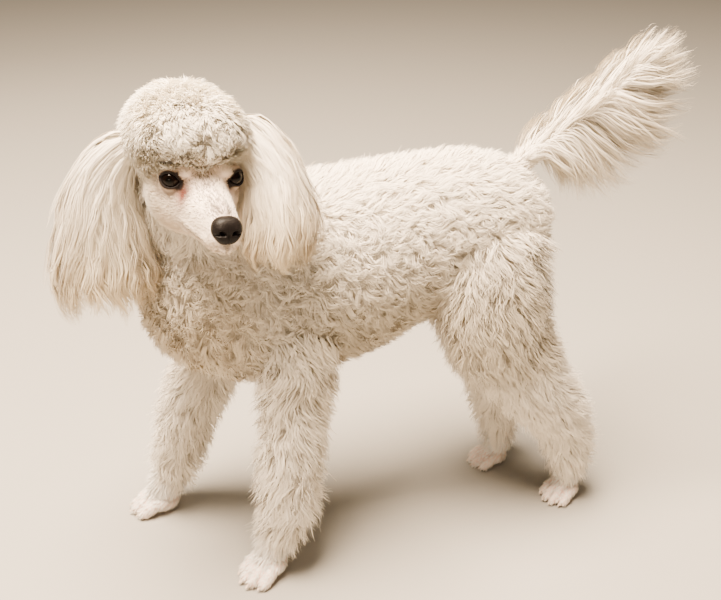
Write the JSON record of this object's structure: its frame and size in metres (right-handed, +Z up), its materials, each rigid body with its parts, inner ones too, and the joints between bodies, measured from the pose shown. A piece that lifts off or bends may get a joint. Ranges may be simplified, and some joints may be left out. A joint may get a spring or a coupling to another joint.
{
  "type": "standard poodle",
  "caption": "Standing white standard poodle in a short clip with full topknot, long hanging ears, fluffy legs, shaved feet and a plumed tail, head turned to its left.",
  "frame": {"origin": "middle of the underside of the whole model's box, on the floor between the feet", "axes": "+Z up, -Y the way the dog's body faces, +X its left side"},
  "size_m": [0.3126, 0.7498, 0.5975],
  "materials": {
    "coat": "matt creamy-white curly hair",
    "eye": "wet, very dark brown",
    "claw": "pale horn",
    "paw_skin": "short clipped white hair over pinkish skin",
    "nose_leather": "moist black leather"
  },
  "bodies": {
    "root": {"ear_left": "coat", "ear_right": "coat", "eye_left": "eye", "eye_right": "eye", "fore_claw_left_1": "claw", "fore_claw_left_2": "claw", "fore_claw_left_3": "claw", "fore_claw_left_4": "claw", "fore_claw_right_1": "claw", "fore_claw_right_2": "claw", "fore_claw_right_3": "claw", "fore_claw_right_4": "claw", "fore_leg_left": "coat", "fore_leg_right": "coat", "fore_paw_left": "paw_skin", "fore_paw_right": "paw_skin", "head": "coat", "hind_claw_left_1": "claw", "hind_claw_left_2": "claw", "hind_claw_left_3": "claw", "hind_claw_left_4": "claw", "hind_claw_right_1": "claw", "hind_claw_right_2": "claw", "hind_claw_right_3": "claw", "hind_claw_right_4": "claw", "hind_leg_left": "coat", "hind_leg_right": "coat", "hind_paw_left": "paw_skin", "hind_paw_right": "paw_skin", "neck": "coat", "nose": "nose_leather", "tail": "coat", "thigh_left": "coat", "thigh_right": "coat", "torso": "coat"}
  },
  "joints": []
}
